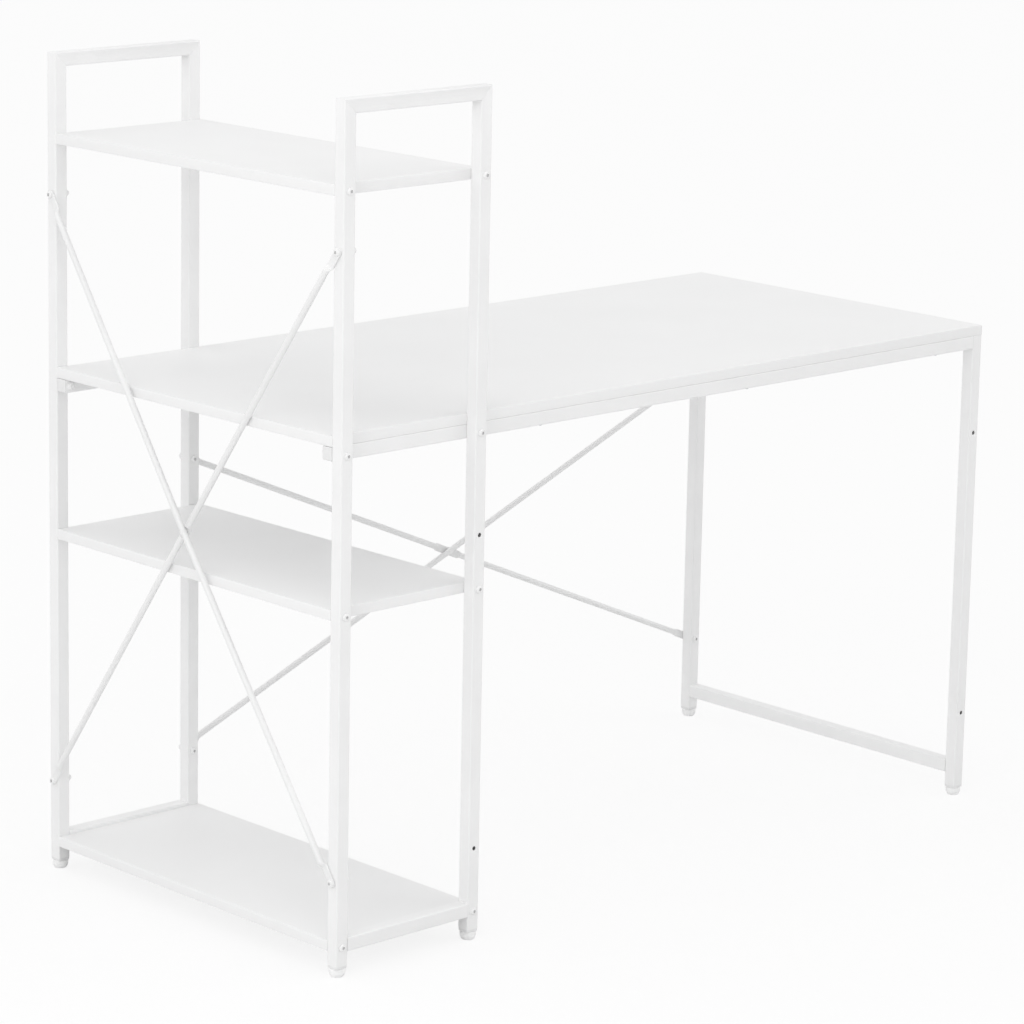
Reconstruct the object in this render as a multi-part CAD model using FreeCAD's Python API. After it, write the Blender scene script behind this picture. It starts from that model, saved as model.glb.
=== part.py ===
import FreeCAD, Part
import os
from math import asin, copysign, cos, pi, sin
from FreeCAD import Placement, Rotation, Vector

# Computer desk with a four-tier shelf tower at its left end.
# All sizes are millimetres. X runs along the desk, Y from front to back, Z up.
# The sizes are laid out from the tower's front left corner on the floor, and
# the finished pieces move so that the origin is under the middle of the desk.

# Overall sizes
desk_length = 1320.0
desktop_depth = 600.0
desktop_height = 750.0
tower_width = 262.0
tower_height = 1200.0

# Places of the boards' upper faces: drops are from the tower's top and from the desktop
top_shelf_drop = 114.0
middle_shelf_drop = 237.0
bottom_shelf_height = 50.0
low_rail_height = 55.0

# Boards: melamine-faced particle board with softened edges
board_thickness = 15.0
board_edge = 0.8

# Square steel tube of every frame member
tube_side = 20.0
tube_wall = 1.2
tube_corner_radius = 2.0

# Six millimetre machine bolts with button heads
bolt_diameter = 6.0
bolt_hole_diameter = 7.0
bolt_head_diameter = 10.5
bolt_head_height = 3.3
bolt_crown_share = 0.6
bolt_socket_width = 4.0
bolt_socket_depth = 2.0
thread_clearance = 0.05
bolt_end_margin = 2.0

# Cross dowels, the steel barrel nuts inside the shelves
dowel_diameter = 10.0
dowel_length = 10.0
dowel_inset = 22.0
dowel_clearance = 0.1
shelf_bolt_tip = 4.0

# Cap nuts of the braces
cap_nut_width = 10.0
cap_nut_hex_height = 5.0
cap_nut_dome_radius = 4.5
cap_nut_bore_depth = 7.0

# Flange nuts on the inner faces of the long rails
flange_nut_width = 10.0
flange_nut_height = 5.0
flange_diameter = 13.0
flange_thickness = 1.5

# Screws that hold the desktop down, driven from below through the rails
screw_diameter = 4.0
screw_hole_diameter = 4.6
screw_head_diameter = 8.0
screw_head_height = 2.4
screw_bite = 10.0
rail_screw_shares = (0.3, 0.62, 0.94)
leg_screw_shares = (0.25, 0.75)

# Brace rods: thin round tube pressed flat at its ends; one rod of each pair is pressed at the crossing too
rod_diameter = 9.0
rod_stand_off = 0.5
press_thickness = 3.0
press_run = 8.0
tab_length = 24.0
crossing_flat_length = 56.0

# Places of the brace holes: the lower ones from the floor, the upper ones down from the tower's top
# and from the desktop
brace_low_height = 134.0
side_brace_drop = 202.0
back_brace_drop = 168.0

# Rivet through each crossing
rivet_diameter = 5.0
rivet_head_diameter = 8.0
rivet_head_height = 2.0

# Plastic plugs in the open ends of the tubes
plug_clearance = 0.1
foot_plug_flange = 4.0
foot_plug_depth = 18.0
foot_plug_corner_radius = 3.0
rail_plug_flange = 2.5
rail_plug_edge = 0.8
rail_insert_length = 16.0

# Levelling feet: a tapered plastic pad on a steel stud
foot_height = 12.0
foot_top_diameter = 23.0
foot_base_diameter = 18.0
foot_lip_height = 4.0
foot_base_edge = 1.2
stud_diameter = 8.0
stud_seat_height = 3.0
stud_length = 30.0

# Every cut runs this far past the face that it opens
overrun = 1.0

# Round forms are drawn in flats, fewest on those that repeat and hide; the empty holes are true circles
corner_flats = 2
rod_flats = 16
tip_flats = 8
foot_flats = 16
stud_flats = 12
head_flats = 8
hidden_flats = 6
hexagon_flats = 6

# Places worked out from the sizes above
tower_depth = desktop_depth + 2 * tube_side
half_tube = tube_side / 2
front_board_face = tube_side
back_board_face = tower_depth - tube_side
tube_base = foot_height + foot_plug_flange
rail_top = desktop_height - board_thickness
rail_base = rail_top - tube_side
rail_axis_height = rail_top - half_tube
low_rail_base = low_rail_height - tube_side
leg_inner_face = desk_length - tube_side
left_axis = half_tube
right_axis = tower_width - half_tube
leg_axis = desk_length - half_tube
front_axis = half_tube
back_axis = tower_depth - half_tube
shelf_tops = {"top": tower_height - top_shelf_drop,
              "middle": desktop_height - middle_shelf_drop,
              "bottom": bottom_shelf_height}
side_brace_heights = (brace_low_height, tower_height - side_brace_drop)
back_brace_heights = (brace_low_height, desktop_height - back_brace_drop)
rod_radius = rod_diameter / 2
inner_rod_axis = rod_stand_off + rod_radius
outer_rod_axis = inner_rod_axis + press_thickness
pressed_width = pi * (rod_diameter - press_thickness) / 2 + press_thickness
cap_nut_height = cap_nut_hex_height + cap_nut_dome_radius
bolt_thread_diameter = bolt_diameter + 2 * thread_clearance
stud_thread_diameter = stud_diameter + 2 * thread_clearance

# How far rivets, bolts and nuts stand out on each side, which sets the origin
left_reach = outer_rod_axis + rod_radius + rivet_head_height
right_reach = bolt_head_height
front_reach = bolt_head_height
back_reach = press_thickness + cap_nut_height
origin_x = (desk_length + right_reach - left_reach) / 2
origin_y = (tower_depth + back_reach - front_reach) / 2

along_x = Vector(1, 0, 0)
along_y = Vector(0, 1, 0)
along_z = Vector(0, 0, 1)
arc_share = sin(pi / 4)
pieces = {}


def box_between(low, high):
    """A plain block between two opposite corners."""
    return Part.makeBox(high.x - low.x, high.y - low.y, high.z - low.z, low)


def flat_face(points):
    """A flat face inside the outline through the points."""
    return Part.Face(Part.makePolygon(points + points[:1]))


def skinned_solid(rings):
    """A solid through rings of equally many points, skinned with flat faces from ring to ring."""
    faces = [flat_face(rings[0]), flat_face(rings[-1])]
    for lower, upper in zip(rings, rings[1:]):
        for index, point in enumerate(lower):
            following = (index + 1) % len(lower)
            faces.append(flat_face([point, lower[following], upper[following]]))
            faces.append(flat_face([point, upper[following], upper[index]]))
    solid = Part.makeSolid(Part.Shell(faces)).removeSplitter()
    if solid.Volume < 0:
        solid.reverse()
    return solid


def rounded_bar(low, high, direction, radius):
    """A block whose four edges along a direction are rounded off in flats."""
    side, rise = [axis for axis in (along_x, along_y, along_z) if axis.dot(direction) == 0]
    size = high - low
    near_side, far_side = radius, size.dot(side) - radius
    near_rise, far_rise = radius, size.dot(rise) - radius
    corners = [low + side * far_side + rise * far_rise, low + side * near_side + rise * far_rise,
               low + side * near_side + rise * near_rise, low + side * far_side + rise * near_rise]
    points = []
    for quarter, corner in enumerate(corners):
        for step in range(corner_flats + 1):
            angle = (quarter + step / corner_flats) * pi / 2
            points.append(corner + (side * cos(angle) + rise * sin(angle)) * radius)
    return flat_face(points).extrude(direction * size.dot(direction))


def tube_between(low, high, direction):
    """Square tube with rounded corners and open ends."""
    wall = Vector(tube_wall, tube_wall, tube_wall)
    end = direction * (tube_wall + overrun)
    bore = box_between(low + wall - end, high - wall + end)
    return rounded_bar(low, high, direction, tube_corner_radius).cut(bore)


def turned_to(shape, place, direction):
    """A shape made upright at zero, set at a place with its top along a direction."""
    turned = shape.copy()
    turned.Placement = Placement(place, Rotation(along_z, direction))
    return turned


def ring(radius, height, flats):
    """Points on a level circle round Z."""
    step = 2 * pi / flats
    return [Vector(radius * cos(i * step), radius * sin(i * step), height) for i in range(flats)]


def turned_solid(sections, flats):
    """Upright solid through level rings, each given by its radius and height."""
    return skinned_solid([ring(radius, height, flats) for radius, height in sections])


def shank(place, direction, diameter, length, flats):
    """A straight bar from a place, with its corners on its diameter."""
    radius = diameter / 2
    return turned_to(turned_solid([(radius, 0), (radius, length)], flats), place, direction)


def bore(place, direction, diameter, length, flats):
    """The cut of a bore from a place, with its flats outside its diameter."""
    return shank(place, direction, diameter / cos(pi / flats), length, flats)


def bolt_hole(place, direction, diameter, length):
    """A hole for a bolt or screw through a stretch of material."""
    return bore(place - direction * overrun, direction, diameter, length + 2 * overrun, hidden_flats)


def open_hole(place, direction, diameter, length):
    """A hole that stays empty, through a stretch of material."""
    return Part.makeCylinder(diameter / 2, length + 2 * overrun, place - direction * overrun, direction)


def cut_by(shape, tools):
    """A shape less each of its cuts."""
    for tool in tools:
        shape = shape.cut(tool)
    return shape


def hexagon_prism(width, height):
    """An upright six-sided prism of a width across its flats."""
    return bore(Vector(), along_z, width, height, hexagon_flats)


def domed_head(diameter, crown_diameter, height):
    """A head that is flat at zero and curves in to a crown below it."""
    rim = diameter / 2
    crown = crown_diameter / 2
    shoulder = crown + (rim - crown) * arc_share
    return turned_solid([(crown, -height), (shoulder, -height * arc_share), (rim, 0)], head_flats)


def button_bolt(length):
    """Bolt with its head's seat at zero, its shank along +Z and a hexagon socket."""
    head = domed_head(bolt_head_diameter, bolt_head_diameter * bolt_crown_share, bolt_head_height)
    socket = hexagon_prism(bolt_socket_width, bolt_socket_depth + overrun)
    socket.translate(along_z * (-bolt_head_height - overrun))
    return head.fuse(shank(Vector(), along_z, bolt_diameter, length, hidden_flats)).cut(socket)


def cap_nut():
    """Domed nut that stands on its seat at zero."""
    shoulder = cap_nut_dome_radius * arc_share
    crown = cap_nut_dome_radius * arc_share ** 3
    dome = turned_solid([(cap_nut_dome_radius, cap_nut_hex_height),
                         (shoulder, cap_nut_hex_height + shoulder),
                         (crown, cap_nut_height)], head_flats)
    thread_length = cap_nut_bore_depth + overrun
    thread = bore(along_z * -overrun, along_z, bolt_thread_diameter, thread_length, hidden_flats)
    return hexagon_prism(cap_nut_width, cap_nut_hex_height).fuse(dome).cut(thread).removeSplitter()


def flange_nut():
    """Hexagon nut on a round flange that stands on its seat at zero."""
    flange = shank(Vector(), along_z, flange_diameter, flange_thickness, head_flats)
    body = flange.fuse(hexagon_prism(flange_nut_width, flange_nut_height))
    thread = bolt_hole(Vector(), along_z, bolt_thread_diameter, flange_nut_height)
    return body.cut(thread).removeSplitter()


# Tower frames: each is two posts, a mitred top rail and a low rail, all welded.
def mitre_wedge(corner_x, toward, front, above):
    """The half of a frame's top corner above or below its 45 degree weld line."""
    reach = toward * (tube_side + overrun)
    outer = Vector(corner_x - toward * overrun, front - overrun, tower_height + overrun)
    inner = Vector(corner_x + reach, front - overrun, tower_height - tube_side - overrun)
    third = Vector(inner.x, outer.y, outer.z) if above else Vector(outer.x, outer.y, inner.z)
    return flat_face([outer, inner, third]).extrude(along_y * (tube_side + 2 * overrun))


def tower_post(front, axis, toward, brace_cuts):
    """One post of a tower frame, with its bolt holes and the mitred top."""
    left = axis - half_tube
    top = Vector(axis + half_tube, front + tube_side, tower_height)
    post = tube_between(Vector(left, front, tube_base), top, along_z)
    cuts = [mitre_wedge(axis - toward * half_tube, toward, front, True)]
    board_middles = [shelf_top - board_thickness / 2 for shelf_top in shelf_tops.values()]
    for height in board_middles + [rail_axis_height]:
        cuts.append(bolt_hole(Vector(axis, front, height), along_y, bolt_hole_diameter, tube_side))
    return cut_by(post, cuts + brace_cuts)


def side_brace_cuts(front):
    """Holes for the side brace's bolts through a left post."""
    return [bolt_hole(Vector(0, front + half_tube, height), along_x, bolt_hole_diameter, tube_side)
            for height in side_brace_heights]


def back_brace_cuts(axis, front, hole):
    """Holes at the back brace's heights through a post. The front posts have them too, left empty."""
    return [hole(Vector(axis, front, height), along_y, bolt_hole_diameter, tube_side)
            for height in back_brace_heights]


def tower_top_rail(front):
    """Top rail of a tower frame, mitred to both posts."""
    low = Vector(0, front, tower_height - tube_side)
    rail = tube_between(low, Vector(tower_width, front + tube_side, tower_height), along_x)
    return cut_by(rail, [mitre_wedge(0, 1, front, False), mitre_wedge(tower_width, -1, front, False)])


def tower_low_rail(front):
    """Low rail of a tower frame, between the posts, level with the bottom shelf."""
    low = Vector(tube_side, front, low_rail_base)
    return tube_between(low, Vector(tower_width - tube_side, front + tube_side, low_rail_height), along_x)


for name, front, hole in (("front", 0, open_hole), ("back", back_board_face, bolt_hole)):
    right_cuts = back_brace_cuts(right_axis, front, hole)
    pieces[name + "_left_post"] = tower_post(front, left_axis, 1, side_brace_cuts(front))
    pieces[name + "_right_post"] = tower_post(front, right_axis, -1, right_cuts)
    pieces[name + "_top_rail"] = tower_top_rail(front)
    pieces[name + "_low_rail"] = tower_low_rail(front)


# Right leg frame: two posts as far apart as the desktop is deep, with two rails between.
leg_front_face = front_board_face
leg_back_face = back_board_face - tube_side
leg_rail_start = leg_front_face + tube_side
leg_rail_length = leg_back_face - leg_rail_start


def leg_post(front, hole):
    """Post of the leg frame, with the brace holes and the hole for the leg bolt."""
    low = Vector(leg_inner_face, front, tube_base)
    post = tube_between(low, Vector(desk_length, front + tube_side, rail_top), along_z)
    bolt_place = Vector(leg_inner_face, front + half_tube, rail_axis_height)
    leg_bolt_cut = bolt_hole(bolt_place, along_x, bolt_hole_diameter, tube_side)
    return cut_by(post, back_brace_cuts(leg_axis, front, hole) + [leg_bolt_cut])


def leg_rail(top, screw_places):
    """Rail between the leg posts, with screw holes where it carries the desktop."""
    low = Vector(leg_inner_face, leg_rail_start, top - tube_side)
    rail = tube_between(low, Vector(desk_length, leg_back_face, top), along_y)
    cuts = [bolt_hole(place, along_z, screw_hole_diameter, tube_side) for place in screw_places]
    return cut_by(rail, cuts)


leg_screw_places = [Vector(leg_axis, leg_rail_start + share * leg_rail_length, rail_base)
                    for share in leg_screw_shares]
pieces["leg_front_post"] = leg_post(leg_front_face, open_hole)
pieces["leg_back_post"] = leg_post(leg_back_face, bolt_hole)
pieces["leg_top_rail"] = leg_rail(rail_top, leg_screw_places)
pieces["leg_low_rail"] = leg_rail(low_rail_height, [])


# Long rails under the desktop, from the tower's left side to the leg frame.
long_rail_fronts = (leg_front_face, leg_back_face)
tower_bolt_xs = (left_axis, right_axis)
rail_screw_xs = [share * leg_inner_face for share in rail_screw_shares]
plug_inset = tube_wall + plug_clearance
rail_plug_end = left_axis - bolt_hole_diameter / 2 - plug_clearance


def long_rail(front):
    """Long rail with bolt holes at the tower and screw holes for the desktop."""
    low = Vector(rail_plug_flange, front, rail_base)
    rail = tube_between(low, Vector(leg_inner_face, front + tube_side, rail_top), along_x)
    cuts = []
    for x in tower_bolt_xs:
        cuts.append(bolt_hole(Vector(x, front, rail_axis_height), along_y, bolt_hole_diameter, tube_side))
    for x in rail_screw_xs:
        place = Vector(x, front + half_tube, rail_base)
        cuts.append(bolt_hole(place, along_z, screw_hole_diameter, tube_side))
    return cut_by(rail, cuts)


def rail_core(front, start, end):
    """Block that fits the bore of a long rail over a stretch of it."""
    low = Vector(start, front + plug_inset, rail_base + plug_inset)
    return box_between(low, Vector(end, front + tube_side - plug_inset, rail_top - plug_inset))


def rail_end_plug(front):
    """Plastic plug that closes the left end of a long rail, short enough to clear the rail bolt."""
    cap = rounded_bar(Vector(0, front, rail_base), Vector(rail_plug_flange, front + tube_side, rail_top),
                      along_x, tube_corner_radius)
    rim = [edge for edge in cap.Edges if edge.BoundBox.XMax < rail_plug_flange / 2]
    return cap.makeChamfer(rail_plug_edge, rim).fuse(rail_core(front, rail_plug_flange, rail_plug_end))


def rail_end_insert(front):
    """Threaded block in the right end of a long rail, which the leg bolt draws up."""
    start = leg_inner_face - rail_insert_length
    place = Vector(start, front + half_tube, rail_axis_height)
    thread = bolt_hole(place, along_x, bolt_thread_diameter, rail_insert_length)
    return rail_core(front, start, leg_inner_face).cut(thread)


pieces["front_long_rail"] = long_rail(leg_front_face)
pieces["back_long_rail"] = long_rail(leg_back_face)
pieces["rail_end_plugs"] = [rail_end_plug(front) for front in long_rail_fronts]
pieces["rail_end_inserts"] = [rail_end_insert(front) for front in long_rail_fronts]


# Boards: the desktop runs through the tower as its second tier, and three shelves fill the rest.
shelf_bore_depth = dowel_inset + dowel_diameter / 2 + shelf_bolt_tip


def board(length, top, bores):
    """A board with softened edges, between the front and back frames."""
    low = Vector(0, front_board_face, top - board_thickness)
    slab = box_between(low, Vector(length, back_board_face, top))
    return cut_by(slab.makeChamfer(board_edge, slab.Edges), bores)


def shelf_bolt_places(top):
    """Where a shelf's four bolts enter the board's ends, with their directions."""
    height = top - board_thickness / 2
    places = []
    for x in tower_bolt_xs:
        places.append((Vector(x, front_board_face, height), along_y))
        places.append((Vector(x, back_board_face, height), -along_y))
    return places


def shelf(top):
    """A tower shelf, bored in its ends for the bolts and from below for the cross dowels."""
    dowel_bore_depth = (board_thickness + dowel_length) / 2
    bores = []
    for place, inward in shelf_bolt_places(top):
        bolt_mouth = place - inward * overrun
        bores.append(bore(bolt_mouth, inward, bolt_hole_diameter, shelf_bore_depth + overrun, hidden_flats))
        dowel_mouth = place + inward * dowel_inset - along_z * (board_thickness / 2 + overrun)
        bores.append(bore(dowel_mouth, along_z, dowel_diameter, dowel_bore_depth + overrun, hidden_flats))
    return board(tower_width, top, bores)


def shelf_bolts(top):
    """The four bolts that hold a shelf between the posts."""
    bolt = button_bolt(tube_side + shelf_bore_depth - bolt_end_margin)
    return [turned_to(bolt, place - inward * tube_side, inward) for place, inward in shelf_bolt_places(top)]


def shelf_dowels(top):
    """The four cross dowels inside a shelf's ends."""
    dowels = []
    for place, inward in shelf_bolt_places(top):
        foot = place + inward * dowel_inset - along_z * (dowel_length / 2)
        barrel = shank(foot, along_z, dowel_diameter - 2 * dowel_clearance, dowel_length, hidden_flats)
        thread = bore(place, inward, bolt_thread_diameter, dowel_inset + dowel_diameter, hidden_flats)
        dowels.append(barrel.cut(thread))
    return dowels


screw_places = [Vector(x, front + half_tube, rail_base)
                for front in long_rail_fronts for x in rail_screw_xs] + leg_screw_places
pilot_diameter = screw_diameter + 2 * thread_clearance
pilot_bores = []
for place in screw_places:
    mouth = Vector(place.x, place.y, rail_top - overrun)
    pilot_bores.append(bore(mouth, along_z, pilot_diameter, screw_bite + overrun, hidden_flats))
pieces["desktop"] = board(desk_length, desktop_height, pilot_bores)
for name, top in shelf_tops.items():
    pieces[name + "_shelf"] = shelf(top)
    pieces[name + "_shelf_bolts"] = shelf_bolts(top)
    pieces[name + "_shelf_dowels"] = shelf_dowels(top)


# Screws from below through the rails into the desktop.
def desktop_screw():
    """Domed screw with its head's seat at zero."""
    head = domed_head(screw_head_diameter, screw_diameter, screw_head_height)
    length = tube_side + screw_bite - bolt_end_margin
    return head.fuse(shank(Vector(), along_z, screw_diameter, length, hidden_flats))


pieces["desktop_screws"] = [turned_to(desktop_screw(), place, along_z) for place in screw_places]


# Bolts that join the long rails to the tower posts and to the leg frame.
tower_rail_bolt = button_bolt(2 * tube_side + flange_nut_height)
rail_bolts = []
rail_nuts = []
for x in tower_bolt_xs:
    rail_bolts.append(turned_to(tower_rail_bolt, Vector(x, 0, rail_axis_height), along_y))
    rail_bolts.append(turned_to(tower_rail_bolt, Vector(x, tower_depth, rail_axis_height), -along_y))
    rail_nuts.append(turned_to(flange_nut(), Vector(x, leg_rail_start, rail_axis_height), along_y))
    rail_nuts.append(turned_to(flange_nut(), Vector(x, leg_back_face, rail_axis_height), -along_y))
pieces["rail_bolts"] = rail_bolts
pieces["rail_nuts"] = rail_nuts
leg_bolt = button_bolt(tube_side + rail_insert_length - bolt_end_margin)
leg_bolt_seats = [Vector(desk_length, front + half_tube, rail_axis_height) for front in long_rail_fronts]
pieces["leg_bolts"] = [turned_to(leg_bolt, seat, -along_x) for seat in leg_bolt_seats]


# Braces: crossed rods with pressed ends, bolted to the posts and riveted where they cross.
def rod_ring(centre, across, outward, thickness):
    """Points round the rod pressed to a thickness. Its skin keeps its length, so the rod gets wider."""
    bend = thickness / 2
    half_level = pi * (rod_diameter - thickness) / 4
    points = []
    for index in range(rod_flats):
        angle = (2 * index + 1) * pi / rod_flats
        run = rod_radius * asin(abs(sin(angle)))
        turn = min(run / bend, pi / 2)
        level_run = max(run - bend * pi / 2, 0)
        side = copysign(half_level - level_run + bend * cos(turn), cos(angle))
        rise = copysign(bend * sin(turn), sin(angle))
        points.append(centre + across * side + outward * rise)
    return points


def brace_tab(hole, heading, outward):
    """Pressed end of a rod on a post's face: round tip, rounded edges and a bolt hole."""
    across = outward.cross(heading)
    tip_radius = pressed_width / 2
    section = rod_ring(hole - heading * tip_radius + outward * (press_thickness / 2),
                       across, outward, press_thickness)
    strip = flat_face(section).extrude(heading * (tip_radius + tab_length))
    far = heading * (tab_length + overrun)
    plan = [hole + across * tip_radius + far, hole - across * tip_radius + far]
    for step in range(tip_flats + 1):
        angle = step * pi / tip_flats
        plan.append(hole - across * (tip_radius * cos(angle)) - heading * (tip_radius * sin(angle)))
    tab = strip.common(flat_face(plan).extrude(outward * press_thickness))
    return tab.cut(bolt_hole(hole, outward, bolt_hole_diameter, press_thickness))


def heading_between(hole, other_hole, outward):
    """Direction from one hole to the other in the plane of the post's face."""
    run = other_hole - hole
    heading = run - outward * run.dot(outward)
    heading.normalize()
    return heading


def brace_rod(hole_a, hole_b, outward, axis_offset, flat_side):
    """One rod; flat_side is 1 if its crossing is pressed outwards, -1 if inwards, 0 if it stays round."""
    heading_a = heading_between(hole_a, hole_b, outward)
    heading_b = heading_between(hole_b, hole_a, outward)
    start = hole_a + heading_a * (tab_length + press_run) + outward * axis_offset
    finish = hole_b + heading_b * (tab_length + press_run) + outward * axis_offset
    axis = finish - start
    axis.normalize()
    normal = axis.cross(along_z)
    normal.normalize()
    normal = normal * (1 if normal.dot(outward) > 0 else -1)
    across = normal.cross(axis)
    tab_lift = outward * (press_thickness / 2)
    rings = [rod_ring(hole_a + heading_a * tab_length + tab_lift, outward.cross(heading_a), outward,
                      press_thickness),
             rod_ring(start, across, normal, rod_diameter)]
    middle = (start + finish) * 0.5
    if flat_side:
        flat_lift = normal * (flat_side * (rod_radius - press_thickness / 2))
        half_flat = axis * (crossing_flat_length / 2)
        half_press = axis * (crossing_flat_length / 2 + press_run)
        rings += [rod_ring(middle - half_press, across, normal, rod_diameter),
                  rod_ring(middle - half_flat + flat_lift, across, normal, press_thickness),
                  rod_ring(middle + half_flat + flat_lift, across, normal, press_thickness),
                  rod_ring(middle + half_press, across, normal, rod_diameter)]
    rings += [rod_ring(finish, across, normal, rod_diameter),
              rod_ring(hole_b + heading_b * tab_length + tab_lift, heading_b.cross(outward), outward,
                       press_thickness)]
    tabs = [brace_tab(hole_a, heading_a, outward), brace_tab(hole_b, heading_b, outward)]
    rod = skinned_solid(rings).multiFuse(tabs).removeSplitter()
    rivet_hole_diameter = rivet_diameter + 2 * thread_clearance
    rivet_hole = bolt_hole(middle - normal * rod_radius, normal, rivet_hole_diameter, rod_diameter)
    return rod.cut(rivet_hole), middle, normal


def crossing_rivet(round_rod, crown, direction):
    """Rivet through both rods from the crown of the round one, whose shape its first head follows."""
    grip = rod_diameter + press_thickness
    head = domed_head(rivet_head_diameter, rivet_diameter, rivet_head_height)
    skirt = shank(Vector(), along_z, rivet_head_diameter, rod_radius, head_flats)
    pin = shank(Vector(), along_z, rivet_diameter, grip, hidden_flats)
    far_head = turned_to(head, along_z * grip, -along_z)
    rivet = turned_to(head.multiFuse([skirt, pin, far_head]), crown, direction)
    return rivet.cut(round_rod)


def brace(name, falling_holes, rising_holes, outward, round_side, head_side):
    """A crossed pair of rods with its bolts, nuts and rivet; a side is 1 if outermost, -1 if innermost."""
    round_axis = outer_rod_axis if round_side > 0 else inner_rod_axis
    pressed_axis = inner_rod_axis if round_side > 0 else outer_rod_axis
    round_rod, middle, normal = brace_rod(*falling_holes, outward, round_axis, 0)
    pressed_rod = brace_rod(*rising_holes, outward, pressed_axis, -round_side)[0]
    pieces[name + "_brace_round_rod"] = round_rod
    pieces[name + "_brace_pressed_rod"] = pressed_rod
    away = normal * round_side
    pieces[name + "_brace_rivet"] = crossing_rivet(round_rod, middle + away * rod_radius, -away)
    tab_face = outward * press_thickness
    post_face = outward * -tube_side
    head_seat = tab_face if head_side > 0 else post_face
    nut_seat = post_face if head_side > 0 else tab_face
    driven = outward * -head_side
    bolt = button_bolt(tube_side + press_thickness + cap_nut_bore_depth - bolt_end_margin)
    holes = falling_holes + rising_holes
    pieces[name + "_brace_bolts"] = [turned_to(bolt, hole + head_seat, driven) for hole in holes]
    pieces[name + "_brace_nuts"] = [turned_to(cap_nut(), hole + nut_seat, driven) for hole in holes]


side_low, side_high = side_brace_heights
back_low, back_high = back_brace_heights
brace("side",
      (Vector(0, back_axis, side_high), Vector(0, front_axis, side_low)),
      (Vector(0, back_axis, side_low), Vector(0, front_axis, side_high)),
      -along_x, 1, 1)
brace("back",
      (Vector(right_axis, tower_depth, back_low), Vector(leg_axis, back_board_face, back_high)),
      (Vector(right_axis, tower_depth, back_high), Vector(leg_axis, back_board_face, back_low)),
      along_y, -1, -1)


# Feet: a plug with a thread in each post, and a levelling foot that screws into it.
post_centres = {
    "tower_front_left": (left_axis, front_axis),
    "tower_front_right": (right_axis, front_axis),
    "tower_back_left": (left_axis, back_axis),
    "tower_back_right": (right_axis, back_axis),
    "leg_front": (leg_axis, leg_front_face + half_tube),
    "leg_back": (leg_axis, leg_back_face + half_tube)}


def foot_plug(x, y):
    """Plastic plug with a round-cornered flange under the tube and a threaded bore."""
    core_half = half_tube - plug_inset
    plug_top = tube_base + foot_plug_depth
    flange = rounded_bar(Vector(x - half_tube, y - half_tube, foot_height),
                         Vector(x + half_tube, y + half_tube, tube_base), along_z, foot_plug_corner_radius)
    core = box_between(Vector(x - core_half, y - core_half, tube_base),
                       Vector(x + core_half, y + core_half, plug_top))
    mouth = Vector(x, y, foot_height - overrun)
    thread_length = plug_top - foot_height + 2 * overrun
    thread = bore(mouth, along_z, stud_thread_diameter, thread_length, stud_flats)
    return flange.fuse(core).cut(thread).removeSplitter()


def foot_pad(x, y):
    """Tapered plastic pad with a straight lip at its top and a softened base."""
    top = foot_top_diameter / 2
    base = foot_base_diameter / 2
    pad = turned_solid([(base - foot_base_edge, 0), (base, foot_base_edge),
                        (top, foot_height - foot_lip_height), (top, foot_height)], foot_flats)
    seat = bore(along_z * stud_seat_height, along_z, stud_thread_diameter, foot_height, stud_flats)
    return turned_to(pad.cut(seat), Vector(x, y, 0), along_z)


for name, (x, y) in post_centres.items():
    stud_seat = Vector(x, y, stud_seat_height)
    pieces[name + "_foot_plug"] = foot_plug(x, y)
    pieces[name + "_foot_pad"] = foot_pad(x, y)
    pieces[name + "_foot_stud"] = shank(stud_seat, along_z, stud_diameter, stud_length, stud_flats)


# One STEP file for each named piece or group of like pieces.
os.makedirs("parts", exist_ok=True)
for name, shapes in pieces.items():
    group = shapes if isinstance(shapes, list) else [shapes]
    solids = [solid for shape in group for solid in shape.Solids]
    for solid in solids:
        solid.translate(Vector(-origin_x, -origin_y, 0))
    whole = solids[0] if len(solids) == 1 else Part.makeCompound(solids)
    whole.exportStep("parts/" + name + ".step")
print(len(pieces), "nodes, origin at", origin_x, origin_y)
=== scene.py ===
from math import asin, copysign, cos, hypot, pi, radians, sin, tan

import bmesh
import bpy
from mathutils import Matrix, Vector


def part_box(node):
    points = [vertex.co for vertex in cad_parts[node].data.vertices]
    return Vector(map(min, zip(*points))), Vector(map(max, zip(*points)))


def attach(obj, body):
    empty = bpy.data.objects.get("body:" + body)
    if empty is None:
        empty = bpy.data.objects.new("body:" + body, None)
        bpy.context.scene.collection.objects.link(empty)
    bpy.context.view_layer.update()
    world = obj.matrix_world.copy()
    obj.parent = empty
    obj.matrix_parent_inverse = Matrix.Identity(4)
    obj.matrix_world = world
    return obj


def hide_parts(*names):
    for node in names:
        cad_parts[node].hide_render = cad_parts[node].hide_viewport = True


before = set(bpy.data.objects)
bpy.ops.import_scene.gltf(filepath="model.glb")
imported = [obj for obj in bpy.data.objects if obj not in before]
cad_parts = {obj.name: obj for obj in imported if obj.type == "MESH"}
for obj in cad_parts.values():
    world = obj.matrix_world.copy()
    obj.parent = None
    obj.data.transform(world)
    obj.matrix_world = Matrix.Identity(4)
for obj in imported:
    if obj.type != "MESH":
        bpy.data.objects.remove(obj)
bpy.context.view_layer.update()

# TOWER POSTS
# Four posts of 20 mm square steel tube, cut square at the foot and at 45 degrees at the top, punched for the
# bolts and powder coated white. The holes for a second back brace stay empty in the front right post.
mm = 0.001
x_axis, y_axis, z_axis = range(3)
tube_side = 20 * mm
tube_wall = 1.2 * mm
tube_corner = 2 * mm
tube_bore_corner = 0.8 * mm
flat_margin = 0.2 * mm
hole_radius = 3.05 * mm
hole_rim = 0.45 * mm
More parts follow.
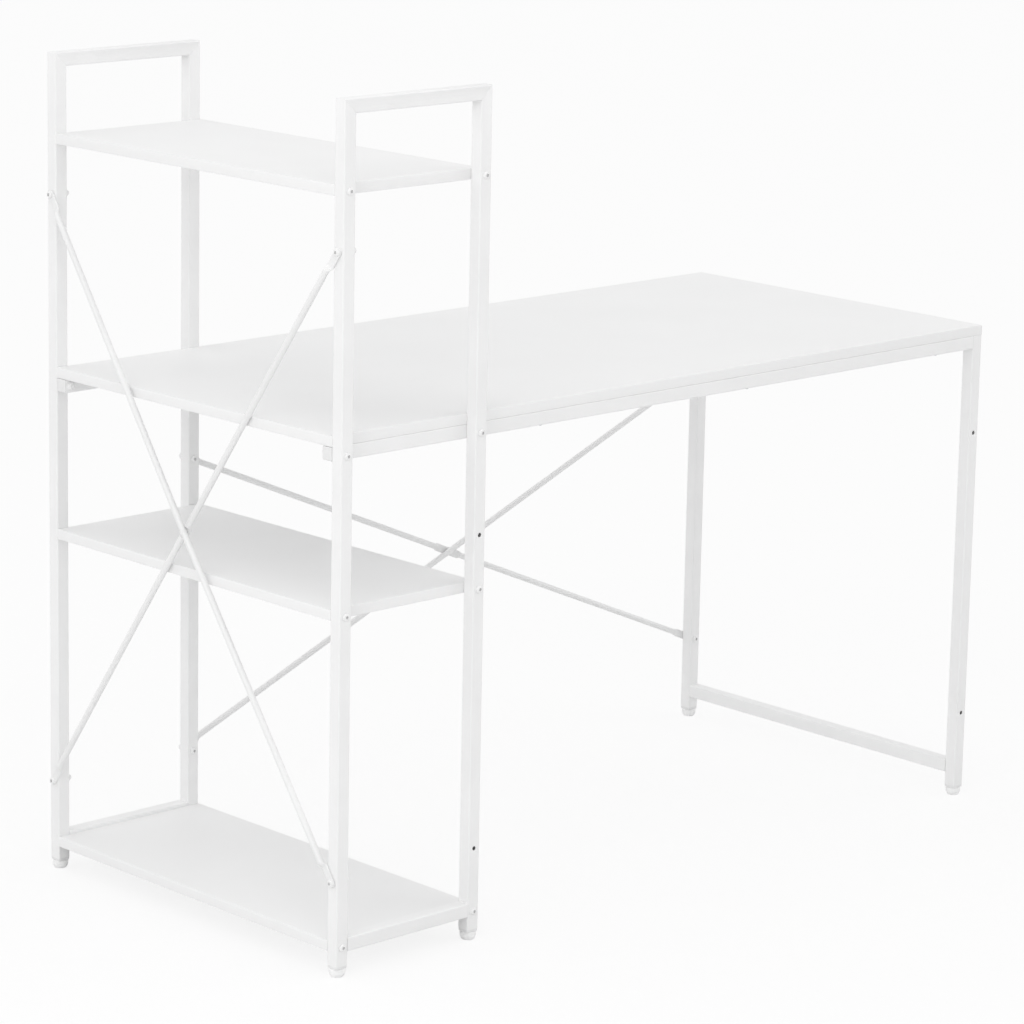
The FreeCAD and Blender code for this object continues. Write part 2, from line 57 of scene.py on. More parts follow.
hole_reach = 6 * mm
hole_steps = 32
quarter_steps = hole_steps // 4
hole_profile = ((hole_radius + hole_rim, 0), (hole_radius + 0.3 * hole_rim, 0.3 * hole_rim),
                (hole_radius, hole_rim), (hole_radius, tube_wall))
seam_depth = 0.15 * mm
seam_half_width = 0.3 * mm
side_brace_heights = (134 * mm, 998 * mm)
back_brace_heights = (134 * mm, 582 * mm)


def section_points(half, corner, steps=6):
    """Outline of a rounded square in its own plane. Each flat keeps a narrow margin, so that it shades flat."""
    points = []
    for quarter in range(4):
        start = quarter * pi / 2
        middle = Vector((copysign(half - corner, cos(start + pi / 4)),
                         copysign(half - corner, sin(start + pi / 4))))
        along_flat = Vector((-sin(start), cos(start)))
        points.append(middle + Vector((cos(start), sin(start))) * corner - along_flat * flat_margin)
        for step in range(steps + 1):
            angle = start + step * pi / 2 / steps
            points.append(middle + Vector((cos(angle), sin(angle))) * corner)
        points.append(middle + along_flat * corner - Vector((cos(start), sin(start))) * flat_margin)
    return points


def square_tube(name, run, holes=(), start_cut=None, end_cut=None):
    """Sets an open square tube in the place of its node.

    A hole is its place along the run and the axis it is punched along. A cut gives the tube's end, for a mitre,
    from a point of its section and the two corners of its box."""
    low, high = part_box(name)
    side, rise = (run + 1) % 3, (run + 2) % 3
    centre = (low + high) / 2
    half = tube_side / 2
    outer = section_points(half, tube_corner)
    inner = section_points(half - tube_wall, tube_bore_corner)
    shape = bmesh.new()

    def point(across, along):
        place = Vector((0, 0, 0))
        place[run] = along
        place[side] = centre[side] + across[0]
        place[rise] = centre[rise] + across[1]
        return place

    def ring(section, along, cut, shrink, back):
        made = []
        for across in section:
            place = point(across * (1 - shrink / half), along)
            if cut:
                place[run] = cut(point(across, along), low, high) + back
            made.append(shape.verts.new(place))
        return made

    edges = [low[run], high[run]]
    for along, _ in holes:
        edges += [along - hole_reach, along + hole_reach]
    edges.sort()
    stations = [(along, None, 0, 0) for along in edges[1:-1]]
    if start_cut:
        stations.insert(0, (edges[0], start_cut, 0, seam_half_width))
    if end_cut:
        stations.append((edges[-1], end_cut, 0, -seam_half_width))
    stations.insert(0, (edges[0], start_cut, seam_depth if start_cut else 0, 0))
    stations.append((edges[-1], end_cut, seam_depth if end_cut else 0, 0))
    outer_rings = [ring(outer, *station) for station in stations]
    inner_rings = [ring(inner, along, cut, 0, back) for along, cut, _, back in stations]

    count = len(outer)
    corner_points = count // 4
    first_panel = 1 if start_cut else 0
    punched = {}
    for along, axis in holes:
        station = first_panel + edges.index(along - hole_reach)
        panels = (0, 2) if axis == rise else (1, 3)
        for panel in panels:
            punched[(station, panel)] = along

    # The inner faces take the inside finish, painted whiter as light bouncing round inside the tube.
    def face(points, inside):
        shape.faces.new(points).material_index = coated.index(tube_inside_painted_light if inside else powder_coat)

    for station in range(len(outer_rings) - 1):
        for index in range(count):
            following = (index + 1) % count
            panel = index // corner_points
            near, far = station, station + 1
            quads = [(rings[near][index], rings[near][following], rings[far][following], rings[far][index])
                     for rings in (outer_rings, inner_rings)]
            if index % corner_points == corner_points - 1 and (station, panel) in punched:
                along = punched[(station, panel)]
                normal = Vector((cos((panel + 1) * pi / 2), sin((panel + 1) * pi / 2)))
                flat = (outer[following] - outer[index]).normalized()
                circles = []
                for radius, depth in hole_profile:
                    circle = []
                    for step in range(hole_steps):
                        angle = (step / hole_steps * 2 - 0.75) * pi
                        across = normal * (half - depth) + flat * (radius * cos(angle))
                        circle.append(shape.verts.new(point(across, along + radius * sin(angle))))
                    circles.append(circle)
                for nearer, deeper in zip(circles, circles[1:]):
                    for step in range(hole_steps):
                        after = (step + 1) % hole_steps
                        face((nearer[step], nearer[after], deeper[after], deeper[step]), False)
                for inside, quad, circle in ((False, quads[0], circles[0]), (True, quads[1], circles[-1])):
                    for quarter in range(4):
                        arc = [circle[(quarter * quarter_steps + step) % hole_steps]
                               for step in range(quarter_steps + 1)]
                        face([quad[quarter], quad[(quarter + 1) % 4]] + arc[::-1], inside)
            else:
                face(quads[0], False)
                face(quads[1], True)
    for end in (0, -1):
        for index in range(count):
            following = (index + 1) % count
            face((outer_rings[end][index], outer_rings[end][following],
                  inner_rings[end][following], inner_rings[end][index]), False)
    fitted(finished(name + "_tube", shape, coated), name)


def linked(name, data):
    """An object with its data, linked into the scene."""
    made = bpy.data.objects.new(name, data)
    bpy.context.scene.collection.objects.link(made)
    return made


def finished(name, shape, finishes, crease=35):
    """Turns a shape into an object with outward faces, smooth but for its creases."""
    bmesh.ops.recalc_face_normals(shape, faces=shape.faces)
    mesh = bpy.data.meshes.new(name)
    shape.to_mesh(mesh)
    shape.free()
    mesh.shade_smooth()
    mesh.set_sharp_from_angle(angle=radians(crease))
    for finish in finishes:
        mesh.materials.append(finish)
    return linked(name, mesh)


def fitted(made, node, body="desk_frame"):
    """Lets a piece ride on its body in place of its node."""
    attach(made, body)
    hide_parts(node)


def linear(colour):
    """A hex colour as the linear colour that the shaders take."""
    shares = [int(colour[place:place + 2], 16) / 255 for place in (1, 3, 5)]
    return [share / 12.92 if share <= 0.04045 else ((share + 0.055) / 1.055) ** 2.4 for share in shares] + [1.0]


def add(tree, kind, inputs=None, **settings):
    """One node with its settings. An input is a value, an output, or another node, which gives its first."""
    node = tree.nodes.new(kind)
    for key, value in settings.items():
        setattr(node, key, value)
    for key, value in (inputs or {}).items():
        if isinstance(value, bpy.types.Node):
            value = next(output for output in value.outputs if output.enabled)
        if isinstance(value, bpy.types.NodeSocket):
            tree.links.new(value, node.inputs[key])
        else:
            node.inputs[key].default_value = value
    return node


def new_material(name):
    """A material with no nodes yet."""
    material = bpy.data.materials.new(name)
    material.use_nodes = True
    material.node_tree.nodes.clear()
    return material, material.node_tree


noise_low, noise_high = 0.3, 0.7


def surface(name, noises, tint, gloss=None, grain=None, skin=None, stretch=None):
    """A material in which the tint, the gloss and the grain each follow one of its noises.

    A noise is its crests to the metre, its detail and its roughness. The tint is a noise's number, two colours
    and where they lie on it, the gloss a noise's number and two roughnesses, and the grain a noise's number, a
    strength and a depth."""
    material, tree = new_material(name)
    place = add(tree, "ShaderNodeTexCoord").outputs["Object"]
    if stretch:
        place = add(tree, "ShaderNodeMapping", {"Vector": place, "Scale": stretch})
    patterns = [add(tree, "ShaderNodeTexNoise",
                    {"Vector": place, "Scale": scale, "Detail": detail, "Roughness": roughness})
                for scale, detail, roughness in noises]
    number, dark, light, *ends = tint
    ramp = add(tree, "ShaderNodeValToRGB", {"Fac": patterns[number]})
    for element, colour, end in zip(ramp.color_ramp.elements, (dark, light), ends or (0, 1)):
        element.position = end
        element.color = linear(colour)
    inputs = {"Base Color": ramp, **(skin or {})}
    if gloss:
        number, least, most = gloss
        inputs["Roughness"] = add(tree, "ShaderNodeMapRange",
                                  {"Value": patterns[number], "From Min": noise_low, "From Max": noise_high,
                                   "To Min": least, "To Max": most})
    if grain:
        number, strength, depth = grain
        inputs["Normal"] = add(tree, "ShaderNodeBump",
                               {"Strength": strength, "Distance": depth, "Height": patterns[number]})
    add(tree, "ShaderNodeOutputMaterial", {"Surface": add(tree, "ShaderNodeBsdfPrincipled", inputs)})
    return material


def middle_of(name):
    """Middle of a node's box."""
    low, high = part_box(name)
    return (low + high) / 2


# White polyester powder coat, sprayed and baked: satin, with broad, barely visible changes of gloss where the
# spray overlapped, and a faint orange peel of 3 mm from crest to crest, drawn at 6 mm so that it shows.
coat_noises = [(170.0, 1.0, 0.4), (14.0, 2.0, 0.5)]
coat_gloss = (1, 0.36, 0.46)
powder_coat = surface("powder_coated_steel_white", coat_noises,
                      tint=(1, "#f1f1f1", "#f4f4f4", noise_low, noise_high), gloss=coat_gloss,
                      grain=(0, 0.1, 0.12 * mm), skin={"IOR": 1.5})

# Inside the tubes: powder drifted in near the holes, thin and uneven, the bright steel showing through. It is
# painted whiter than the coat outside, as painted light standing in for light that bounces round inside the
# tube.
tube_inside_painted_light = surface("bright_steel_with_painted_bounce_light", [(90.0, 3.0, 0.6)], tint=(0, "#f4f4f4", "#fbfbfb"),
                      grain=(0, 0.3, 0.1 * mm), skin={"Metallic": 0.6, "Roughness": 0.6})
coated = [powder_coat, tube_inside_painted_light]

board_names = ("top_shelf", "middle_shelf", "bottom_shelf")
shelf_heights = [middle_of(name).z for name in board_names]
rail_height = middle_of("front_long_rail").z
for name in ("front_left_post", "front_right_post", "back_left_post", "back_right_post"):
    holes = [(height, y_axis) for height in shelf_heights + [rail_height]]
    if "left" in name:
        holes += [(height, x_axis) for height in side_brace_heights]
        mitre = lambda point, low, high: high.z - (point.x - low.x)
    else:
        holes += [(height, y_axis) for height in back_brace_heights]
        mitre = lambda point, low, high: high.z - (high.x - point.x)
    square_tube(name, z_axis, holes, end_cut=mitre)


# TOWER RAILS
# A top rail joins each pair of posts with mitred corners, welded and ground flush. A low rail is butt welded
# between the posts beside the bottom shelf. Both are the same coated tube as the posts.
for name in ("front_top_rail", "back_top_rail"):
    square_tube(name, x_axis, start_cut=lambda point, low, high: low.x + (high.z - point.z),
                end_cut=lambda point, low, high: high.x - (high.z - point.z))
for name in ("front_low_rail", "back_low_rail"):
    square_tube(name, x_axis)


# LEG FRAME
# Two posts under the desktop's right end with a top rail and a low rail welded between them, all of the same
# tube. The top rail takes two of the desktop's screws, and the posts take the long rails' bolts.
leg_screw_shares = (0.25, 0.75)
for name in ("leg_front_post", "leg_back_post"):
    square_tube(name, z_axis, [(height, y_axis) for height in back_brace_heights] + [(rail_height, x_axis)])
leg_rail_low, leg_rail_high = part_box("leg_top_rail")
leg_screw_places = [leg_rail_low.y + share * (leg_rail_high.y - leg_rail_low.y) for share in leg_screw_shares]
square_tube("leg_top_rail", y_axis, [(y, z_axis) for y in leg_screw_places])
square_tube("leg_low_rail", y_axis)


# WELD BEADS
# Short fillet welds in the corners that stay hidden from the front: inside each mitre, and above and below
# the ends of the rails. Laid by hand before coating, so they are a little uneven and as white as the tube.
bead_radius = 1.7 * mm
bead_pitch = 1.4 * mm
bead_inset = 2.5 * mm


def node_group(name, sockets):
    """A geometry node tree that takes and gives geometry. Its other inputs are pairs of a name and a kind."""
    group = bpy.data.node_groups.new(name, "GeometryNodeTree")
    for label, kind in [("Geometry", "Geometry")] + sockets:
        group.interface.new_socket(label, in_out="INPUT", socket_type="NodeSocket" + kind)
    group.interface.new_socket("Geometry", in_out="OUTPUT", socket_type="NodeSocketGeometry")
    return group


welding = node_group("weld_bead", [("Bead Radius", "Float"), ("Ripple Pitch", "Float"), ("Finish", "Material")])
given = add(welding, "NodeGroupInput").outputs
spacing = add(welding, "ShaderNodeMath", {0: given["Ripple Pitch"], 1: 0.25}, operation="MULTIPLY")
lines = add(welding, "GeometryNodeMeshToCurve", {"Mesh": given["Geometry"]})
drawn = add(welding, "GeometryNodeResampleCurve", {"Curve": lines, "Length": spacing}, mode="LENGTH")
along = add(welding, "GeometryNodeSplineParameter").outputs
turns = add(welding, "ShaderNodeMath", {0: along["Length"], 1: given["Ripple Pitch"]}, operation="DIVIDE")
phase = add(welding, "ShaderNodeMath", {0: turns, 1: 2 * pi}, operation="MULTIPLY")
wave = add(welding, "ShaderNodeMath", {0: phase}, operation="SINE")
chance = add(welding, "FunctionNodeRandomValue", {"Min": -0.05, "Max": 0.05, "Seed": 7}, data_type="FLOAT")
ripple = add(welding, "ShaderNodeMath", {0: wave, 1: 0.07, 2: chance}, operation="MULTIPLY_ADD")
swell = add(welding, "ShaderNodeMath", {0: ripple, 1: 1.0}, operation="ADD")
ends = add(welding, "ShaderNodeMath", {0: along["Factor"], 1: 0.5}, operation="PINGPONG")
taper = add(welding, "ShaderNodeMapRange",
            {"Value": ends, "From Min": 0.0, "From Max": 0.1, "To Min": 0.35, "To Max": 1.0},
            interpolation_type="SMOOTHSTEP")
thick = add(welding, "ShaderNodeMath", {0: swell, 1: taper}, operation="MULTIPLY")
profile = add(welding, "GeometryNodeCurvePrimitiveCircle", {"Resolution": 12, "Radius": given["Bead Radius"]})
bead = add(welding, "GeometryNodeCurveToMesh",
           {"Curve": drawn, "Profile Curve": profile, "Scale": thick, "Fill Caps": True})
smooth = add(welding, "GeometryNodeSetShadeSmooth", {"Geometry": bead})
real = add(welding, "GeometryNodeRealizeInstances", {"Geometry": smooth})
coat = add(welding, "GeometryNodeSetMaterial", {"Geometry": real, "Material": given["Finish"]})
add(welding, "NodeGroupOutput", {"Geometry": coat})


def grown(name, points, edges, tree, values, attributes=None):
    """Runs a node tree on points and edges and keeps what it makes as a plain mesh."""
    mesh = bpy.data.meshes.new(name)
    mesh.from_pydata(points, edges, [])
    for key, vectors in (attributes or {}).items():
        data = mesh.attributes.new(key, "FLOAT_VECTOR", "POINT").data
        data.foreach_set("vector", [number for vector in vectors for number in vector])
    made = linked(name, mesh)
    modifier = made.modifiers.new("growth", "NODES")
    modifier.node_group = tree
    for item in tree.interface.items_tree:
        if item.item_type == "SOCKET" and item.in_out == "INPUT" and item.name in values:
            modifier[item.identifier] = values[item.name]
    made.update_tag()
    bpy.context.view_layer.update()
    evaluated = made.evaluated_get(bpy.context.evaluated_depsgraph_get())
    made.data = bpy.data.meshes.new_from_object(evaluated)
    made.data.name = name
    made.modifiers.remove(modifier)
    bpy.data.meshes.remove(mesh)
    return made


weld_points = []
for end in ("front", "back"):
    low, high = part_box(end + "_low_rail")
    mitre_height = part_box(end + "_top_rail")[0].z
    for x in (low.x, high.x):
        for z in (low.z, high.z, mitre_height):
            weld_points += [(x, low.y + bead_inset, z), (x, high.y - bead_inset, z)]
low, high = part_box("leg_low_rail")
for y in (low.y, high.y):
    for z in (low.z, high.z, leg_rail_low.z):
        weld_points += [(low.x + bead_inset, y, z), (high.x - bead_inset, y, z)]
weld_edges = [(start, start + 1) for start in range(0, len(weld_points), 2)]
welds = grown("weld_beads", weld_points, weld_edges, welding,
              {"Bead Radius": bead_radius, "Ripple Pitch": bead_pitch, "Finish": powder_coat})
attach(welds, "desk_frame")


# LONG RAILS
# Two rails of the same tube run under the desktop from the tower's left side to the leg frame, bolted behind
# the tower's posts. The desktop's screws pass up through them, and threaded blocks fill their right ends.
rail_names = ("front_long_rail", "back_long_rail")
rail_screw_shares = (0.3, 0.62, 0.94)
leg_inner_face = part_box("leg_front_post")[0].x
desk_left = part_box("desktop")[0].x
rail_screw_places = [desk_left + share * (leg_inner_face - desk_left) for share in rail_screw_shares]
tower_axes = [middle_of(name).x for name in ("front_left_post", "front_right_post")]
for name in rail_names:
    square_tube(name, x_axis, [(x, y_axis) for x in tower_axes] + [(x, z_axis) for x in rail_screw_places])

# Bright zinc plate on turned or rolled steel: a clear metal with fine lines round it and a faint bluish cast.
zinc = surface("zinc_plated_steel", [(900.0, 2.0, 0.6), (120.0, 1.0, 0.5)], tint=(1, "#b4b8bc", "#cfd0cf"),
               gloss=(0, 0.24, 0.4), grain=(0, 0.2, 0.04 * mm), skin={"Metallic": 1.0})
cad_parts["rail_end_inserts"].material_slots[0].material = zinc


# RAIL END PLUGS
# Ribbed plugs moulded in white polyethylene, pressed into the left ends of the long rails. Only the 2.5 mm cap
# with its rounded rim shows beside the tower's post.
plug_cap = 2.5 * mm
plug_rim = 0.8 * mm
plug_half = 9.3 * mm
plug_core_half = 8.7 * mm
rim_steps = 4

# White polyethylene from a spark-eroded mould: matt, very fine grain, a little light passing under the skin.
plug_plastic = surface("polyethylene_moulded_white", [(1100.0, 2.0, 0.6), (160.0, 1.0, 0.5)],
                       tint=(1, "#e7e7e7", "#ededed"), gloss=(0, 0.46, 0.58), grain=(0, 0.25, 0.05 * mm),
                       skin={"IOR": 1.51, "Subsurface Weight": 0.08, "Subsurface Scale": 2 * mm,
                             "Subsurface Radius": (1.0, 1.0, 1.0)})


def skinned(shape, rings, closed=True, bands=None):
    """Adds a skin from ring to ring, closed by a face at each end, or joined end to end if not closed."""
    loops = [[shape.verts.new(point) for point in ring] for ring in rings]
    pairs = list(zip(loops, loops[1:])) + ([] if closed else [(loops[-1], loops[0])])
    for band, (lower, upper) in enumerate(pairs):
        for index in range(len(lower)):
            following = (index + 1) % len(lower)
            face = shape.faces.new((lower[index], lower[following], upper[following], upper[index]))
            face.material_index = bands[band] if bands else 0
    if closed:
        shape.faces.new(loops[0][::-1]).material_index = bands[0] if bands else 0
        shape.faces.new(loops[-1]).material_index = bands[-1] if bands else 0


shape = bmesh.new()
plug_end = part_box("rail_end_plugs")[1].x
turns = [step * pi / 2 / rim_steps for step in range(rim_steps + 1)]
rim_arc = [(plug_rim * (1 - sin(turn)), plug_rim * (1 - cos(turn))) for turn in turns]
sections = [(plug_half - inset, tube_corner - inset * 0.8, desk_left + depth) for inset, depth in rim_arc]
sections += [(plug_half, tube_corner, desk_left + plug_cap),
             (plug_core_half, tube_bore_corner, desk_left + plug_cap),
             (plug_core_half, tube_bore_corner, plug_end)]
for name in rail_names:
    middle = middle_of(name)
    skinned(shape, [[Vector((x, middle.y + point.x, middle.z + point.y))
                     for point in section_points(half, corner)] for half, corner, x in sections])
fitted(finished("rail_end_caps", shape, [plug_plastic]), "rail_end_plugs")


# BOARDS
# Four 15 mm particle boards faced with white melamine on both sides, with a 1 mm plastic edge band glued round
# them and trimmed to a small radius. The shelves are bored from below for the barrel nuts of their bolts.
band_thickness = 1.0 * mm
band_radius = 0.8 * mm
glue_line = 0.05 * mm
edge_steps = 5
corner_steps = 4
nut_bore_radius = 5.0 * mm
nut_bore_rise = 5.0 * mm
bore_steps = 32
bore_turn = 2 * pi / bore_steps
nut_inset = 22 * mm

# Melamine-faced board, pressed against a finely grained plate: an even satin white with a pearl grain. The
# real grain is about 0.3 mm, drawn here at 1.2 mm so that it shows.
melamine = surface("melamine_faced_board_white", [(830.0, 2.0, 0.6), (5.0, 2.0, 0.5)],
                   tint=(1, "#f1f1f1", "#f3f3f3", noise_low, noise_high), gloss=(0, 0.42, 0.54),
                   grain=(0, 0.2, 0.05 * mm), skin={"IOR": 1.5})

# Extruded ABS edge band, scraped and buffed after gluing: a shade cooler and smoother than the melamine, with
# faint lines along its length.
edge_band = surface("abs_edge_band_white", [(1.0, 2.0, 0.5)], tint=(0, "#f1f1f1", "#f3f3f3"),
                    gloss=(0, 0.36, 0.46), grain=(0, 0.15, 0.04 * mm), skin={"IOR": 1.52},
                    stretch=(40.0, 40.0, 1800.0))

# Bare particle board inside the bores: pale wood flakes of 1 to 3 mm pressed in all directions, rough and open.
particle_board, tree = new_material("particle_board_bored")
place = add(tree, "ShaderNodeTexCoord").outputs["Object"]
flakes = add(tree, "ShaderNodeTexVoronoi", {"Vector": place, "Scale": 550.0}).outputs
tint = add(tree, "ShaderNodeValToRGB", {"Fac": flakes["Color"]})
tint.color_ramp.elements[0].color = linear("#a98a62")
tint.color_ramp.elements[1].color = linear("#d8bd92")
grain = add(tree, "ShaderNodeBump", {"Strength": 0.6, "Distance": 0.3 * mm, "Height": flakes["Distance"]})
skin = add(tree, "ShaderNodeBsdfPrincipled", {"Base Color": tint, "Roughness": 0.85, "Normal": grain})
add(tree, "ShaderNodeOutputMaterial", {"Surface": skin})


def plan_ring(low, high, inset, height):
    """Level outline of a board, its corners rounded as its edges are."""
    corner = max(band_radius - inset, 0.05 * mm)
    points = []
    for quarter, (x, y) in enumerate(((high.x, high.y), (low.x, high.y), (low.x, low.y), (high.x, low.y))):
        middle_x = x - copysign(inset + corner, x - (low.x + high.x) / 2)
        middle_y = y - copysign(inset + corner, y - (low.y + high.y) / 2)
        for step in range(corner_steps + 1):
            angle = (quarter + step / corner_steps) * pi / 2
            points.append(Vector((middle_x + corner * cos(angle), middle_y + corner * sin(angle), height)))
    return points


board_finishes = [melamine, edge_band, particle_board]
turns = [step * pi / 2 / edge_steps for step in range(edge_steps + 1)]
profile = [(band_thickness + glue_line, 0), (band_thickness, glue_line), (band_thickness - glue_line, 0)]
profile += [(band_radius * (1 - sin(turn)), band_radius * (1 - cos(turn))) for turn in turns]
for name in ("desktop",) + board_names:
    low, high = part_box(name)
    rings = [plan_ring(low, high, inset, high.z - depth) for inset, depth in profile]
    rings += [plan_ring(low, high, inset, low.z + depth) for inset, depth in profile[::-1]]
    shape = bmesh.new()
    loops = [[shape.verts.new(point) for point in ring] for ring in rings]
    count = len(loops[0])
    for lower, upper in zip(loops, loops[1:]):
        for index in range(count):
            following = (index + 1) % count
            side = shape.faces.new((lower[index], upper[index], upper[following], lower[following]))
            side.material_index = board_finishes.index(edge_band)
    shape.faces.new(loops[0])
    underside = [shape.edges.get((loops[-1][index], loops[-1][(index + 1) % count])) for index in range(count)]
    if name != "desktop":
        bore_top = (low.z + high.z) / 2 + nut_bore_rise
        for x in tower_axes:
            for y in (low.y + nut_inset, high.y - nut_inset):
                circles = []
                for height in (low.z, bore_top):
                    circles.append([shape.verts.new((x + nut_bore_radius * cos(step * bore_turn),
                                                     y + nut_bore_radius * sin(step * bore_turn), height))
                                    for step in range(bore_steps)])
                lower, upper = circles
                for step in range(bore_steps):
                    after = (step + 1) % bore_steps
                    wall = shape.faces.new((lower[step], lower[after], upper[after], upper[step]))
                    wall.material_index = board_finishes.index(particle_board)
                    underside.append(shape.edges.get((lower[step], lower[after])))
                shape.faces.new(upper).material_index = board_finishes.index(particle_board)
    bmesh.ops.triangle_fill(shape, use_beauty=True, edges=underside)
    fitted(finished(name + "_board", shape, board_finishes), name)


# BOLTS, NUTS AND SCREWS
# Six millimetre button-head machine bolts, lacquered white, with a hexagon socket, go into barrel nuts, flange
# nuts, cap nuts and threaded blocks. Zinc-plated cross-head screws hold the desktop from below.
shelf_bolt_length = 49 * mm
rail_bolt_length = 45 * mm
leg_bolt_length = 34 * mm
screw_length = 28 * mm
barrel_nut_length = 10 * mm
nut_width = 10 * mm
nut_height = 5 * mm

fitting = node_group("fastener_fitting", [("Fastener", "Object"), ("Turn Seed", "Int"), ("Turn Range", "Float"),
                                          ("Finish", "Material"), ("Socket Finish", "Material")])
given = add(fitting, "NodeGroupInput").outputs
master = add(fitting, "GeometryNodeObjectInfo", {"Object": given["Fastener"]})
facing = add(fitting, "GeometryNodeInputNamedAttribute", {"Name": "facing"}, data_type="FLOAT_VECTOR")
aimed = add(fitting, "FunctionNodeAlignRotationToVector", {"Vector": facing}, axis="Z")
angle = add(fitting, "FunctionNodeRandomValue",
            {"Min": 0.0, "Max": given["Turn Range"], "Seed": given["Turn Seed"]}, data_type="FLOAT")
turn = add(fitting, "FunctionNodeAxisAngleToRotation", {"Axis": (0, 0, 1), "Angle": angle})
turned_round = add(fitting, "FunctionNodeRotateRotation", {"Rotation": aimed, "Rotate By": turn},
                   rotation_space="LOCAL")
placed = add(fitting, "GeometryNodeInstanceOnPoints",
             {"Points": given["Geometry"], "Instance": master.outputs["Geometry"], "Rotation": turned_round})
real = add(fitting, "GeometryNodeRealizeInstances", {"Geometry": placed})
coat = add(fitting, "GeometryNodeSetMaterial", {"Geometry": real, "Material": given["Finish"]})
# Faces in the socket take its greyer finish, partly painted shade for the recess.
recess = add(fitting, "GeometryNodeInputNamedAttribute", {"Name": "in_socket"}, data_type="BOOLEAN")
greyed_socket = add(fitting, "GeometryNodeSetMaterial",
           {"Geometry": coat, "Selection": recess, "Material": given["Socket Finish"]})
add(fitting, "NodeGroupOutput", {"Geometry": greyed_socket})

# Zinc-plated steel under white lacquer: glossier than the powder coat, thin and slightly uneven at the edges.
lacquer = surface("lacquered_steel_white", [(420.0, 1.0, 0.5)], tint=(0, "#efefef", "#f4f4f4"),
                  gloss=(0, 0.26, 0.36), grain=(0, 0.15, 0.05 * mm), skin={"IOR": 1.5})

# Socket that the lacquer only thinly reaches: a greyer white, partly the thin lacquer and partly painted shade
# for the recess, with the punch's marks down its walls.
socket_lacquer_and_shade = surface("thin_lacquer_and_painted_shade_socket", [(1500.0, 2.0, 0.6)], tint=(0, "#d0d0d0", "#e0e0e0"),
                       skin={"Roughness": 0.45, "IOR": 1.5})


def hexagon(width):
    """Radius of a hexagon at an angle, from its width across the flats. Its corners are cut a little short."""
    corner_cut = 0.874
    return lambda angle: width / 2 / max(cos((angle % (pi / 3)) - pi / 6), corner_cut)


def slot_shape(half_width, reach, arms):
    """Radius of a recess with two or four straight arms at an angle."""
    def radius(angle):
        arm = min(half_width / max(abs(sin(angle)), 1e-6), reach)
        other = min(half_width / max(abs(cos(angle)), 1e-6), reach)
        return max(arm, other) if arms == 4 else max(arm, half_width)
    return radius


def turned(name, sections, socket_bands=0, looped=False, steps=48):
    """A master fastener from rings about Z. A radius or a height may be a function of the angle."""
    rings = []
    for radius, height in sections:
        ring = []
        for step in range(steps):
            angle = step * 2 * pi / steps
            reach = radius(angle) if callable(radius) else radius
            level = height(angle) if callable(height) else height
            ring.append(Vector((reach * cos(angle), reach * sin(angle), level)))
        rings.append(ring)
    bands = [1 if band < socket_bands else 0 for band in range(len(rings))]
    shape = bmesh.new()
    skinned(shape, rings, not looped, bands)
    made = finished(name, shape, [])
    chosen = [polygon.material_index == 1 for polygon in made.data.polygons]
    made.data.attributes.new("in_socket", "BOOLEAN", "FACE").data.foreach_set("value", chosen)
    made.data.polygons.foreach_set("material_index", [0] * len(chosen))
    return made


def fit_fasteners(name, node, master, seats, seed, finish=lacquer,
                  body="desk_frame"):
    """Sets a master fastener in every seat of a node, each turned by chance. A seat is a place and a facing."""
    made = grown(name, [seat for seat, _ in seats], [], fitting,
                 {"Fastener": master, "Turn Seed": seed, "Turn Range": 2 * pi, "Finish": finish,
                  "Socket Finish": socket_lacquer_and_shade}, {"facing": [facing for _, facing in seats]})
    fitted(made, node, body)


def button_bolt(name, length):
    """An M6 button-head bolt with a 4 mm socket, its seat at zero and its shank up."""
    head, crown, rise, rim = 5.25 * mm, 3.15 * mm, 3.3 * mm, 0.4 * mm
    dome_steps = 7
    sections = [(hexagon(3.4 * mm), -rise + 2.0 * mm), (hexagon(4.0 * mm), -rise + 1.8 * mm),
                (hexagon(4.0 * mm), -rise + 0.2 * mm), (hexagon(4.3 * mm), -rise), (crown - 0.2 * mm, -rise)]
    for step in range(dome_steps + 1):
        angle = step * pi / 2 / dome_steps
        sections.append((crown + (head - crown) * sin(angle), -rim - (rise - rim) * cos(angle)))
    sections += [(head, -0.1 * mm), (head - 0.1 * mm, 0), (3.1 * mm, 0), (3.0 * mm, 0.1 * mm),
                 (3.0 * mm, length - 0.6 * mm), (2.5 * mm, length)]
    return turned(name, sections, socket_bands=3)


into_back, into_front = Vector((0, 1, 0)), Vector((0, -1, 0))
into_left, upwards = Vector((-1, 0, 0)), Vector((0, 0, 1))


def tower_seats(front, back, height):
    """Seats at the axes of the tower's posts, in a front plane facing back and a back plane facing front."""
    return [(Vector((x, y, height)), facing)
            for y, facing in ((front, into_back), (back, into_front)) for x in tower_axes]


post_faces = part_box("front_left_post")[0].y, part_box("back_left_post")[1].y
rail_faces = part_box("front_long_rail")[1].y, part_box("back_long_rail")[0].y
shelf_bolt = button_bolt("shelf_bolt_master", shelf_bolt_length)
barrel_nut = turned("barrel_nut_master",
                    [(slot_shape(0.6 * mm, 3.9 * mm, 2), 1.3 * mm), (slot_shape(0.6 * mm, 4.0 * mm, 2), 0),
                     (4.6 * mm, 0), (4.85 * mm, 0.25 * mm), (4.85 * mm, barrel_nut_length - 0.25 * mm),
                     (4.6 * mm, barrel_nut_length)])
for seed, (name, height) in enumerate(zip(board_names, shelf_heights)):
    low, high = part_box(name)
    fit_fasteners(name + "_button_bolts", name + "_bolts", shelf_bolt, tower_seats(*post_faces, height),
                  seed + 1)
    nut_seats = [(Vector((x, y, height - barrel_nut_length / 2)), upwards)
                 for x in tower_axes for y in (low.y + nut_inset, high.y - nut_inset)]
    fit_fasteners(name + "_barrel_nuts", name + "_dowels", barrel_nut, nut_seats, seed + 11, zinc)

